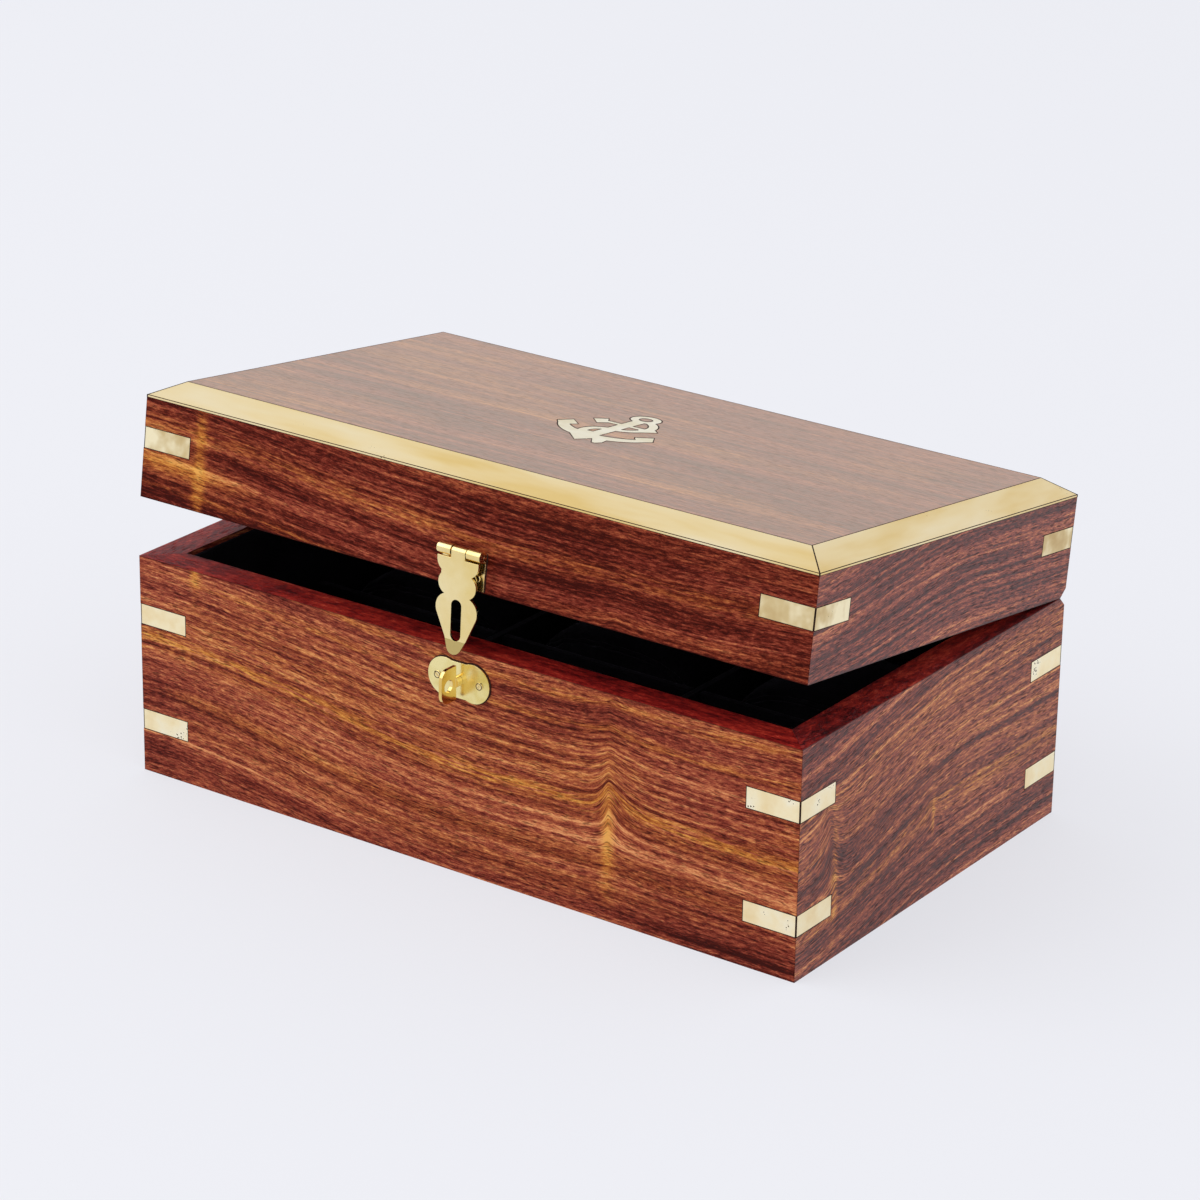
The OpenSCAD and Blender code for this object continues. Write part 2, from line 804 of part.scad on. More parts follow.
on_lid() corner_strips(corner_lid_z, true, false);  // corner_lid_front_right
on_lid() corner_strips(corner_lid_z, false, true);  // corner_lid_back_left
on_lid() corner_strips(corner_lid_z, true, true);  // corner_lid_back_right
lid_wall("front");  // lid_front
lid_wall("back");  // lid_back
lid_wall("left");  // lid_left
lid_wall("right");  // lid_right
lid_board();
edge_strip("front");  // edge_strip_front
edge_strip("back");  // edge_strip_back
edge_strip("left");  // edge_strip_left
edge_strip("right");  // edge_strip_right
anchor_inlay();
lid_ceiling_lining();
lid_wall_lining();
hinge_base_leaf(-1);  // hinge_left_base_leaf
hinge_lid_leaf(-1);  // hinge_left_lid_leaf
hinge_pin(-1);  // hinge_left_pin
hinge_base_screws(-1);  // hinge_left_base_screws
hinge_lid_screws(-1);  // hinge_left_lid_screws
hinge_base_leaf(1);  // hinge_right_base_leaf
hinge_lid_leaf(1);  // hinge_right_lid_leaf
hinge_pin(1);  // hinge_right_pin
hinge_base_screws(1);  // hinge_right_base_screws
hinge_lid_screws(1);  // hinge_right_lid_screws
hasp_back_plate();
hasp_leaf();
hasp_pin();
hasp_screws();
catch_plate();
catch_screws();
turning_staple();
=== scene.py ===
# Brass-bound sheesham watch box, velvet lined, with a hasp and a turning staple.
# Settings are in millimetres. The camera's place and all of the stage are in metres, like the scene.
import json
import math

import bmesh
import bpy
from mathutils import Euler, Matrix, Vector
from mathutils.bvhtree import BVHTree


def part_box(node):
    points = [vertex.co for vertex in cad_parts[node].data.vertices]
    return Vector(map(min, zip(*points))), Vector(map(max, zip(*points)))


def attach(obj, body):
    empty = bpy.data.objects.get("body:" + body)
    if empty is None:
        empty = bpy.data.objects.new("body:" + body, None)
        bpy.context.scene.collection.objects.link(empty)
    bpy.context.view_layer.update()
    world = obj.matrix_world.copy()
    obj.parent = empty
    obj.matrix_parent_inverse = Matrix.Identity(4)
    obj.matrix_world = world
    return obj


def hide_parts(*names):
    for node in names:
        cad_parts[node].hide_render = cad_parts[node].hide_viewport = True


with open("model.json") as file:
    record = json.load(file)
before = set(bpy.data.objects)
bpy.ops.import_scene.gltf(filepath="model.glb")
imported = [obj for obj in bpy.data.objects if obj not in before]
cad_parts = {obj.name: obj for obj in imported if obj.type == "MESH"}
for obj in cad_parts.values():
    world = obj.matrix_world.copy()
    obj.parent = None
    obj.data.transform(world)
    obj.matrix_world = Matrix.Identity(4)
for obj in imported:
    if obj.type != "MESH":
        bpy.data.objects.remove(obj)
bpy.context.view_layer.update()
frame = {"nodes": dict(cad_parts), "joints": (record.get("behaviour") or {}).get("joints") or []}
mm = 0.001

camera = {
    "place": (0.71835, -1.01902, 0.56509),
    "turn": (68.212, -0.911, 35.518),
    "lens": 125.97,
    "sensor": 36,
}


def makeCamera(s):
    data = bpy.data.cameras.new("camera")
    data.lens = s["lens"]
    data.sensor_width = s["sensor"]
    data.sensor_fit = "HORIZONTAL"
    view = bpy.data.objects.new("camera", data)
    view.location = s["place"]
    view.rotation_euler = Euler([math.radians(a) for a in s["turn"]])
    bpy.context.collection.objects.link(view)
    bpy.context.scene.camera = view


makeCamera(camera)
print("camera placed")


def linear(hexColour):
    # sRGB hex to the linear colour that shaders take
    parts = [int(hexColour[i:i + 2], 16) / 255 for i in (1, 3, 5)]
    return [p / 12.92 if p <= 0.04045 else ((p + 0.055) / 1.055) ** 2.4 for p in parts] + [1]


def addNode(tree, kind, values=None, **settings):
    # one node; each of its sockets takes a value, a socket or another node's first output
    node = tree.nodes.new(kind)
    for name, value in settings.items():
        setattr(node, name, value)
    for name, value in (values or {}).items():
        if isinstance(value, bpy.types.Node):
            value = value.outputs[0]
        if isinstance(value, bpy.types.NodeSocket):
            tree.links.new(value, node.inputs[name])
        else:
            node.inputs[name].default_value = value
    return node


def setRamp(node, stops):
    ramp = node.color_ramp
    while len(ramp.elements) > 1:
        ramp.elements.remove(ramp.elements[-1])
    ramp.elements[0].position = stops[0][0]
    ramp.elements[0].color = linear(stops[0][1])
    for place, colour in stops[1:]:
        ramp.elements.new(place).color = linear(colour)


def newMaterial(name):
    material = bpy.data.materials.new(name)
    material.use_nodes = True
    tree = material.node_tree
    tree.nodes.clear()
    shader = addNode(tree, "ShaderNodeBsdfPrincipled")
    addNode(tree, "ShaderNodeOutputMaterial", {"Surface": shader})
    return material, tree, shader


def giveMaterial(node, material):
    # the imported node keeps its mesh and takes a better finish
    mesh = frame["nodes"][node].data
    mesh.materials.clear()
    mesh.materials.append(material)


# the lid's hinge axis lies in the seam, and the lid is packed standing open
hinge = Vector(next(j for j in frame["joints"] if j["name"] == "lid_hinge")["pos_m"]) / mm
lidOpen = math.radians(7.6)
lidTurn = Matrix.Rotation(-lidOpen, 3, "X")
upwards = Vector((0, 0, 1))


def faceDirection(direction, onLid):
    direction = Vector(direction).normalized()
    return lidTurn @ direction if onLid else direction


sheesham = {
    # what bends the lines: size along, across and into the board, then how far it moves them
    "wander": (((150, 60, 60), 10.0), ((34, 12, 20), 1.6), ((9, 4, 6), 0.5)),
    # what draws them: size, detail, roughness, share of the tone
    "layers": (
        ("bands", (520, 6.0, 14), 2, 0.55, 0.9),
        ("lines", (150, 1.5, 5), 3, 0.66, 1.6),
        ("fibre", (12, 0.8, 1.5), 1, 0.6, 0.5),
        ("flecks", (3.0, 0.6, 1.0), 3, 0.85, 1.9),
        ("cloud", (60, 26, 40), 2, 0.5, 0.5),
    ),
    "fibreBreak": (0.35, 0.55),       # where the fibre breaks the fine marks
    "poreSize": (3.0, 0.42, 0.6),     # vessels, drawn wider than real so that they show
    "poreLimit": (0.58, 0.7),
    "poreCover": 0.6,
    "poreRough": 0.2,
    "goldSize": (650, 8, 30),
    "goldLimit": (0.5, 0.72),
    "goldFlecks": 0.5,
    "ringSize": (240, 2.8, 9),        # thin dark lines of growth, long and broken
    "ringWidth": 0.035,
    "ringDark": -0.16,
    "ringSeed": 9,                    # added to the board's seed, so that no two patterns are alike
    "poreSeed": 5,
    # painted shade: the wood is darkened along the seam, in the joint between lid and box
    "edge": 0.5,                      # darkened edge along the seam
    "seamShadeDark": 0.9,
    "red": [(0.0, "#390802"), (0.22, "#5f1c10"), (0.42, "#833626"),
            (0.6, "#a05035"), (0.8, "#c27349"), (1.0, "#dd9662")],
    "gold": [(0.0, "#451505"), (0.22, "#743014"), (0.42, "#97501f"),
             (0.6, "#b56b2d"), (0.8, "#cd883c"), (1.0, "#e2a450")],
    "crimson": [(0.0, "#38060a"), (0.4, "#7a1715"), (0.7, "#a32b20"), (1.0, "#c64e38")],
    "pore": "#300602",
    "waxAndPaintedHaze": "#95794c",
    "dust": "#ffe2b8",
    "rough": 0.46,
    "coatRough": 0.3,
    "dustRough": 0.5,
    "relief": (0.55, 0.16),           # strength and depth
    "corner": 0.35,                   # radius to which the edges are worn
    "rimFacing": 0.9,                 # how level a face at the seam is to take the stain
    "rimDepth": 1.0,
    "shineGold": 0.9,                 # gold that a ray adds, and that a dark patch takes
    "patchGold": -0.5,
}

# One board each: axes along, across and into it, its place in the log (the seed) and its marks. Lid and box
# are sawn from one carcase, so a lid wall shares the seed and the marks of the wall below it, and levels are
# from the seam. The sweep is where the lines start to drop, over what length and how far. A streak is its
# level, width, lightness and gold. A knot lifts the lines over it. A ray is its place along, level, reach,
# width and shine, and where the shine is less than nothing it is a dark patch.
frontMarks = {
    "axes": "XZY", "seed": 1.3, "sweep": (15, 140, 10),
    "streaks": ((-37.5, 2.0, 0.13, 1.0), (-41.5, 1.4, -0.02, 0.2), (-28, 14, 0.1, 0.35),
                (-13, 1.2, 0.05, 0.5), (-3.8, 1.5, 0.08, 0.6), (-0.5, 2.5, -0.1, 0),
                (-47.5, 3.2, -0.08, 0), (-56.5, 2.0, 0.04, 0.25), (-60, 7, -0.08, -0.1),
                (-73, 7.5, -0.14, 0), (17.5, 3.4, 0.06, 0.5), (8, 4.0, -0.05, 0), (29, 4.0, -0.07, 0)),
    "knots": ({"at": 58.8, "level": -33, "reach": 12, "lift": 5.7, "width": 3.2, "skew": 0.4, "lean": 0},
              {"at": 58.8, "level": -20, "reach": 30, "lift": 2.8, "width": 8, "skew": 0.2, "lean": 0}),
    "rays": ((58.6, -47, 18, 2.3, 0.25), (-103.7, 12, 22, 2.2, 0.2), (-103.7, -5, 8, 2.2, 0.16),
             (-127, -62, 14, 14, -0.07), (-127, -15, 11, 24, -0.16), (112, -73, 9, 36, -0.1),
             (96, -24, 9, 18, -0.12), (-116, 4.5, 4, 26, 0.3), (-20, 4, 4, 36, -0.1))}
rightMarks = {
    "axes": "YZX", "seed": 9.2, "sweep": (22, 110, -15),
    "streaks": ((-12, 12, 0.07, 0.4), (-45.5, 2.2, 0.1, 0.9), (-38, 9, 0.03, 0.3), (-26, 3, 0.04, 0.3),
                (-54, 5, -0.06, 0), (-64, 6, -0.05, 0)),
    "knots": ({"at": -58, "level": -24, "reach": 16, "lift": 6.0, "width": 4, "skew": 0, "lean": -0.2},
              {"at": 0, "level": -46, "reach": 6, "lift": 2.4, "width": 4, "skew": 0, "lean": -0.4}),
    "rays": ((-56, -36, 16, 1.8, 0.18), (0.5, -47.5, 5, 0.9, 0.4))}
backMarks = {
    "axes": "XZY", "seed": 4.1, "sweep": (0, 130, 8),
    "streaks": ((-21, 1.8, 0.1, 0.8), (-55, 2.4, 0.06, 0.5), (14, 2, 0.06, 0.5), (-68, 6, -0.1, 0)),
    "knots": ({"at": -41, "level": -30, "reach": 20, "lift": 5, "width": 5, "skew": -0.3, "lean": 0.05},),
    "rays": ((-41, -38, 12, 2, 0.2),)}
leftMarks = {
    "axes": "YZX", "seed": 7.7, "sweep": (30, 110, 9),
    "streaks": ((-33, 2, 0.08, 0.7), (-60, 5, -0.08, 0)),
    "knots": ({"at": 22, "level": -20, "reach": 15, "lift": 4, "width": 5, "skew": 0.2, "lean": 0},),
    "rays": ((22, -26, 9, 1.6, 0.2),)}
boards = {
    "base_front": {**frontMarks, "light": 0.065, "gold": 0.38, "gloss": 0.08},
    "base_back": {**backMarks, "gold": 0.5, "gloss": 0.15},
    "base_left": {**leftMarks, "gold": 0.5, "gloss": 0.2},
    "base_right": {**rightMarks, "light": -0.1, "gold": 0.3, "contrast": 1.15, "gloss": 0.52},
    "base_bottom": {"axes": "XYZ", "seed": 12.5, "light": -0.1, "gold": 0.3, "gloss": 0.1},
    "lid_front": {**frontMarks, "light": -0.195, "gold": 0.3, "contrast": 0.93, "gloss": 0.05},
    "lid_back": {**backMarks, "light": -0.16, "gold": 0.5, "gloss": 0.12},
    "lid_left": {**leftMarks, "light": -0.16, "gold": 0.5, "gloss": 0.2},
    "lid_right": {**rightMarks, "light": -0.12, "gold": 0.2, "contrast": 1.15, "gloss": 0.64},
    "lid_board": {"axes": "XYZ", "seed": 27.6, "light": -0.1, "gold": 1.2, "goldSize": (75, 20, 30),
                  "contrast": 0.74, "gloss": 0.5, "coat": 0.65, "dust": 0.2, "waxAndPaintedHaze": 0.3},
}


def hill(tree, value, middle, width):
    # 1 at the middle, falling smoothly to nothing over about twice the width
    off = addNode(tree, "ShaderNodeMath", {0: value, 1: 1 / width, 2: -middle / width},
                  operation="MULTIPLY_ADD")
    off = addNode(tree, "ShaderNodeMath", {0: off, 1: off}, operation="MULTIPLY")
    return addNode(tree, "ShaderNodeMath", {0: 1 / math.e, 1: off}, operation="POWER")


def grainPattern(tree, place, size, seed, **values):
    # cloudy pattern stretched to a size in millimetres along, across and into the board
    spot = addNode(tree, "ShaderNodeVectorMath", {0: place, 1: [1 / v for v in size]}, operation="MULTIPLY")
    return addNode(tree, "ShaderNodeTexNoise", {"Vector": spot, "W": seed, "Scale": 1.0, **values},
                   noise_dimensions="4D")


def bendLines(tree, along, across, depth, board, s):
    # the lines wander, sweep down from one end and peak over the knots
    bent = across
    place = addNode(tree, "ShaderNodeCombineXYZ", {0: along, 1: across, 2: depth})
    for size, shift in s["wander"]:
        wave = grainPattern(tree, place, size, board["seed"], Detail=1.0)
        wave = addNode(tree, "ShaderNodeMath", {0: wave, 1: 0.5}, operation="SUBTRACT")
        bent = addNode(tree, "ShaderNodeMath", {0: wave, 1: shift, 2: bent}, operation="MULTIPLY_ADD")
    if "sweep" in board:
        start, length, drop = board["sweep"]
        run = addNode(tree, "ShaderNodeMapRange", {
            "Value": along, 1: start, 2: start - length, 3: 0, 4: drop}, interpolation_type="SMOOTHSTEP")
        bent = addNode(tree, "ShaderNodeMath", {0: bent, 1: run}, operation="SUBTRACT")
    level = bent
    for knot in board.get("knots", ()):
        reach = hill(tree, level, knot["level"], knot["reach"])
        shift = addNode(tree, "ShaderNodeMath", {
            0: level, 1: -knot["lean"], 2: knot["lean"] * knot["level"] - knot["at"]},
                        operation="MULTIPLY_ADD")
        off = addNode(tree, "ShaderNodeMath", {0: along, 1: shift}, operation="ADD")
        side = addNode(tree, "ShaderNodeMath", {0: off}, operation="ABSOLUTE")
        side = addNode(tree, "ShaderNodeMath", {0: off, 1: -knot["skew"], 2: side}, operation="MULTIPLY_ADD")
        side = addNode(tree, "ShaderNodeMath", {0: side, 1: side, 2: 1.0}, operation="MULTIPLY_ADD")
        side = addNode(tree, "ShaderNodeMath", {0: side}, operation="SQRT")
        side = addNode(tree, "ShaderNodeMath", {0: side, 1: 1 / knot["width"], 2: -1 / knot["width"]},
                       operation="MULTIPLY_ADD")
        side = addNode(tree, "ShaderNodeMath", {0: 1 / math.e, 1: side}, operation="POWER")
        lift = addNode(tree, "ShaderNodeMath", {0: side, 1: reach}, operation="MULTIPLY")
        bent = addNode(tree, "ShaderNodeMath", {0: lift, 1: -knot["lift"], 2: bent}, operation="MULTIPLY_ADD")
    return level, bent


def drawFigure(tree, along, across, depth, board, s):
    # figure of plain-sawn sheesham: returns its colour, its crimson stain, its height and its pores
    seed = board["seed"]
    level, bent = bendLines(tree, along, across, depth, board, s)
    place = addNode(tree, "ShaderNodeCombineXYZ", {0: along, 1: bent, 2: depth})
    contrast = board.get("contrast", 1.0)
    tone = 0.5 + board.get("light", 0) - 0.5 * contrast * sum(layer[4] for layer in s["layers"])
    gold = grainPattern(tree, place, board.get("goldSize", s["goldSize"]), seed, Detail=2.0)
    gold = addNode(tree, "ShaderNodeMapRange", {"Value": gold, 1: s["goldLimit"][0], 2: s["goldLimit"][1],
                                                3: 0, 4: board["gold"]})
    drawn = {}
    for name, size, detail, rough, share in s["layers"]:
        drawn[name] = grainPattern(tree, place, size, seed, Detail=detail, Roughness=rough)
        tone = addNode(tree, "ShaderNodeMath", {0: drawn[name], 1: share * contrast, 2: tone},
                       operation="MULTIPLY_ADD")
    ring = grainPattern(tree, place, s["ringSize"], seed + s["ringSeed"], Detail=0.0)
    ring = hill(tree, ring, 0.5, s["ringWidth"])
    breaks = addNode(tree, "ShaderNodeMapRange", {
        "Value": drawn["fibre"], 1: s["fibreBreak"][0], 2: s["fibreBreak"][1]})
    ring = addNode(tree, "ShaderNodeMath", {0: ring, 1: breaks}, operation="MULTIPLY")
    tone = addNode(tree, "ShaderNodeMath", {0: ring, 1: s["ringDark"] * contrast, 2: tone},
                   operation="MULTIPLY_ADD")
    for middle, width, lighter, golden in board.get("streaks", ()):
        streak = hill(tree, bent, middle, width)
        tone = addNode(tree, "ShaderNodeMath", {0: streak, 1: lighter, 2: tone}, operation="MULTIPLY_ADD")
        streak = addNode(tree, "ShaderNodeMath", {0: streak, 1: breaks}, operation="MULTIPLY")
        gold = addNode(tree, "ShaderNodeMath", {0: streak, 1: golden, 2: gold}, operation="MULTIPLY_ADD")
    for at, middle, reach, width, shine in board.get("rays", ()):
        ray = addNode(tree, "ShaderNodeMath", {
            0: hill(tree, along, at, width), 1: hill(tree, level, middle, reach)}, operation="MULTIPLY")
        tone = addNode(tree, "ShaderNodeMath", {0: ray, 1: shine, 2: tone}, operation="MULTIPLY_ADD")
        golden = s["shineGold"] if shine > 0 else s["patchGold"]
        gold = addNode(tree, "ShaderNodeMath", {0: ray, 1: golden, 2: gold}, operation="MULTIPLY_ADD")

    # golden flecks among the red, and dark pores over both
    fleck = addNode(tree, "ShaderNodeMath", {
        0: drawn["flecks"], 1: s["goldFlecks"], 2: -0.5 * s["goldFlecks"]}, operation="MULTIPLY_ADD")
    gold = addNode(tree, "ShaderNodeMath", {0: gold, 1: fleck}, operation="ADD", use_clamp=True)
    red = addNode(tree, "ShaderNodeValToRGB", {0: tone})
    setRamp(red, s["red"])
    yellow = addNode(tree, "ShaderNodeValToRGB", {0: tone})
    setRamp(yellow, s["gold"])
    stain = addNode(tree, "ShaderNodeValToRGB", {0: tone})
    setRamp(stain, s["crimson"])
    colour = addNode(tree, "ShaderNodeMix", {0: gold, 6: red, 7: yellow}, data_type="RGBA").outputs[2]
    pores = grainPattern(tree, place, s["poreSize"], seed + s["poreSeed"], Detail=0.0)
    pores = addNode(tree, "ShaderNodeMapRange", {"Value": pores, 1: s["poreLimit"][0], 2: s["poreLimit"][1]})
    cover = addNode(tree, "ShaderNodeMath", {0: pores, 1: s["poreCover"] * contrast}, operation="MULTIPLY")
    colour = addNode(tree, "ShaderNodeMix", {0: cover, 6: colour, 7: linear(s["pore"])},
                     data_type="RGBA").outputs[2]
    # a beige tint over the lid board: a bloom of wax, and in part painted haze for the light that the top
    # reflects
    if "waxAndPaintedHaze" in board:
        colour = addNode(tree, "ShaderNodeMix", {0: board["waxAndPaintedHaze"], 6: colour, 7: linear(s["waxAndPaintedHaze"])},
                         data_type="RGBA").outputs[2]
    height = addNode(tree, "ShaderNodeMath", {0: drawn["fibre"], 1: pores}, operation="SUBTRACT")
    return colour, stain, height, pores


def makeSheesham(name, board, s):
    # planed sheesham with a thin rubbed varnish: deep red-brown, satin, its pores left open
    material, tree, shader = newMaterial("sheesham_" + name)
    coords = addNode(tree, "ShaderNodeTexCoord").outputs
    place = {"Location": (0, 0, -hinge.z)}
    if name.startswith("lid"):
        shut = Vector((0, hinge.y, 0)) - lidTurn.inverted() @ Vector((0, hinge.y, hinge.z))
        place = {"Location": shut, "Rotation": (lidOpen, 0, 0)}
    flat = addNode(tree, "ShaderNodeMapping", {"Vector": coords["Object"], "Scale": [1 / mm] * 3, **place})
    axes = addNode(tree, "ShaderNodeSeparateXYZ", {0: flat}).outputs
    along, across, depth = (axes[letter] for letter in board["axes"])
    figure, stain, relief, pores = drawFigure(tree, along, across, depth, board, s)

    # the level faces at the seam are stained crimson, and the edges beside them are darkened: painted shade
    # in the joint between lid and box
    level = addNode(tree, "ShaderNodeSeparateXYZ", {0: coords["Normal"]})
    level = addNode(tree, "ShaderNodeMath", {0: level.outputs["Z"]}, operation="ABSOLUTE")
    level = addNode(tree, "ShaderNodeMath", {0: level, 1: s["rimFacing"]}, operation="GREATER_THAN")
    height = addNode(tree, "ShaderNodeMath", {0: axes["Z"]}, operation="ABSOLUTE")
    near = addNode(tree, "ShaderNodeMath", {0: height, 1: s["rimDepth"]}, operation="LESS_THAN")
    rim = addNode(tree, "ShaderNodeMath", {0: level, 1: near}, operation="MULTIPLY")
    edge = addNode(tree, "ShaderNodeMapRange", {
        "Value": height, 1: s["edge"], 2: 0.0, 3: 0.0, 4: s["seamShadeDark"]})
    colour = addNode(tree, "ShaderNodeMix", {0: edge, 6: figure, 7: linear(s["pore"])},
                     data_type="RGBA").outputs[2]
    colour = addNode(tree, "ShaderNodeMix", {0: rim, 6: colour, 7: stain}, data_type="RGBA").outputs[2]
    tree.links.new(colour, shader.inputs["Base Color"])
    rough = addNode(tree, "ShaderNodeMapRange", {
        "Value": pores, 3: s["rough"], 4: s["rough"] + s["poreRough"]})
    tree.links.new(rough.outputs[0], shader.inputs["Roughness"])
    softEdge = addNode(tree, "ShaderNodeBevel", {"Radius": s["corner"] * mm}, samples=4)
    bump = addNode(tree, "ShaderNodeBump", {
        "Strength": s["relief"][0], "Distance": s["relief"][1] * mm, "Height": relief, "Normal": softEdge})
    tree.links.new(bump.outputs[0], shader.inputs["Normal"])
    shader.inputs["Specular IOR Level"].default_value = board["gloss"]
    shader.inputs["Coat Weight"].default_value = board.get("coat", 0)
    shader.inputs["Coat Roughness"].default_value = s["coatRough"]
    shader.inputs["Sheen Weight"].default_value = board.get("dust", 0)
    shader.inputs["Sheen Roughness"].default_value = s["dustRough"]
    shader.inputs["Sheen Tint"].default_value = linear(s["dust"])
    return material


for name, board in boards.items():
    giveMaterial(name, makeSheesham(name, board, sheesham))
print("sheesham on", len(boards), "boards")

# what all the brass shares: grit of the sanding, the areas that are pitted and how many pits they have at
# most, how much rougher the dull patches are, the worn corner, and the relief's strength and depth
brassSurface = {"grit": 0.5, "pitArea": 9, "pitRise": 0.12, "pitShare": 0.3, "dull": 0.08, "bright": -0.05,
                "corner": 0.18, "relief": (0.1, 0.05)}
brassStrip = {**brassSurface, "tones": [(0.3, "#e8ca84"), (0.5, "#f1dba6"), (0.7, "#f5e5bc")],
              "roughness": 0.3, "patch": (60, 12, 12), "pit": "#4f3a20", "pitSize": 0.9, "pitLimit": 0.66}
# the box's corner pieces are painted lighter than the lid's: painted light that makes up for the floor shade
# they reflect
brassCorner = {**brassSurface, "tones": [(0.3, "#f8e2b0"), (0.5, "#fff0c6"), (0.7, "#fff7da")],
               "roughness": 0.34, "patch": (9, 9, 9), "pit": "#4a371f", "pitSize": 0.9, "pitLimit": 0.58}
brassLidCorner = {**brassCorner, "tones": [(0.34, "#cbae78"), (0.46, "#dcc592"), (0.58, "#fdf0c8")],
                  "patch": (13, 13, 13)}
brassInlay = {**brassCorner, "tones": [(0.3, "#ece1bd"), (0.7, "#fdf6e0")], "pitLimit": 0.64}
brassHardware = {**brassSurface, "tones": [(0.3, "#ecd38c"), (0.7, "#f5e3ae")], "roughness": 0.2,
                 "patch": (12, 12, 12)}
# the leaf's darker tip colour is painted shade
brassLeaf = {**brassHardware, "tip": "#c4ae70", "tipLength": 4.25}
brassCatch = {**brassHardware, "tones": [(0.36, "#dcc468"), (0.6, "#f4e6a6")], "roughness": 0.24}
# painted reflection: the staple's deeper gold stands in for the brass and wood that its shaded side reflects
brassStaple = {**brassHardware, "tones": [(0.3, "#e2bb5c"), (0.7, "#f3dc98")], "roughness": 0.12}


def makeBrass(name, s, along="X"):
    # brass sheet, sanded flush or polished: pale gold, soft streaks of tarnish, a few sand pits
    material, tree, shader = newMaterial(name)
    coords = addNode(tree, "ShaderNodeTexCoord").outputs["Object"]
    size = s["patch"] if along == "X" else (s["patch"][1], s["patch"][0], s["patch"][2])
    spot = addNode(tree, "ShaderNodeMapping", {"Vector": coords, "Scale": [1 / (v * mm) for v in size]})
    patch = addNode(tree, "ShaderNodeTexNoise", {
        "Vector": spot, "Scale": 1.0, "Detail": 3.0, "Roughness": 0.55})
    tint = addNode(tree, "ShaderNodeValToRGB", {"Fac": patch})
    setRamp(tint, s["tones"])
    grit = addNode(tree, "ShaderNodeTexNoise", {
        "Vector": coords, "Scale": 1 / (s["grit"] * mm), "Detail": 2.0})
    height = grit.outputs["Fac"]
    colour = tint.outputs[0]
    if "pit" in s:
        dots = addNode(tree, "ShaderNodeTexVoronoi", {"Vector": coords, "Scale": 1 / (s["pitSize"] * mm)})
        where = addNode(tree, "ShaderNodeTexNoise", {
            "Vector": coords, "Scale": 1 / (s["pitArea"] * mm), "Detail": 1.0})
        limit = addNode(tree, "ShaderNodeMapRange", {
            "Value": where, 1: s["pitLimit"], 2: s["pitLimit"] + s["pitRise"], 3: 0.0, 4: s["pitShare"]})
        pit = addNode(tree, "ShaderNodeMath", {0: dots, 1: limit}, operation="LESS_THAN")
        colour = addNode(tree, "ShaderNodeMix", {0: pit, 6: colour, 7: linear(s["pit"])},
                         data_type="RGBA").outputs[2]
        height = addNode(tree, "ShaderNodeMath", {0: height, 1: pit}, operation="SUBTRACT")
    if "tip" in s:
        # the hasp's turned-up tip is painted darker: painted shade for the shaded floor that it reflects
        level = addNode(tree, "ShaderNodeSeparateXYZ", {0: coords})
        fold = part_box("hasp_leaf")[0][2] + s["tipLength"] * mm
        tip = addNode(tree, "ShaderNodeMath", {0: level.outputs["Z"], 1: fold}, operation="LESS_THAN")
        colour = addNode(tree, "ShaderNodeMix", {0: tip, 6: colour, 7: linear(s["tip"])},
                         data_type="RGBA").outputs[2]
    tree.links.new(colour, shader.inputs["Base Color"])
    rough = addNode(tree, "ShaderNodeMapRange", {
        "Value": patch, 3: s["roughness"] + s["dull"], 4: s["roughness"] + s["bright"]})
    tree.links.new(rough.outputs[0], shader.inputs["Roughness"])
    softEdge = addNode(tree, "ShaderNodeBevel", {"Radius": s["corner"] * mm}, samples=4)
    bump = addNode(tree, "ShaderNodeBump", {
        "Strength": s["relief"][0], "Distance": s["relief"][1] * mm, "Height": height, "Normal": softEdge})
    tree.links.new(bump.outputs[0], shader.inputs["Normal"])
    shader.inputs["Metallic"].default_value = 1.0
    return material


# how a piece's name starts, its material, the settings and the way its streaks run; the first that fits holds
brassParts = (
    (("edge_strip_front", "edge_strip_back"), "sandedBrassStrip", brassStrip, "X"),
    ("edge_strip", "sandedBrassSideStrip", brassStrip, "Y"),
    ("corner_lid", "sandedBrassLidCorner", brassLidCorner, "X"),
    ("corner_", "sandedBrassCornerPaintedLight", brassCorner, "X"),
    ("anchor", "sandedBrassInlay", brassInlay, "X"),
    ("catch_plate", "tarnishedBrassCatch", brassCatch, "X"),
    ("hasp_leaf", "polishedBrassLeaf", brassLeaf, "X"),
    ("turning_", "polishedBrassStaple", brassStaple, "X"),
    (("hinge_", "hasp_", "catch_"), "polishedBrass", brassHardware, "X"),
)
for node in frame["nodes"]:
    for start, name, settings, along in brassParts:
        if node.startswith(start):
            giveMaterial(node, bpy.data.materials.get(name) or makeBrass(name, settings, along))
            break
print("brass on")


def makePiece(name, mesh, material, body):
    piece = bpy.data.objects.new(name, mesh)
    bpy.context.collection.objects.link(piece)
    mesh.materials.clear()
    mesh.materials.append(material)
    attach(piece, body)
    return piece


def makeWire(name, points, edges):
    # loose edges, which a geometry tree turns into curves
    mesh = bpy.data.meshes.new(name)
    mesh.from_pydata(points, edges, [])
    wire = bpy.data.objects.new(name, mesh)
    bpy.context.collection.objects.link(wire)
    return wire


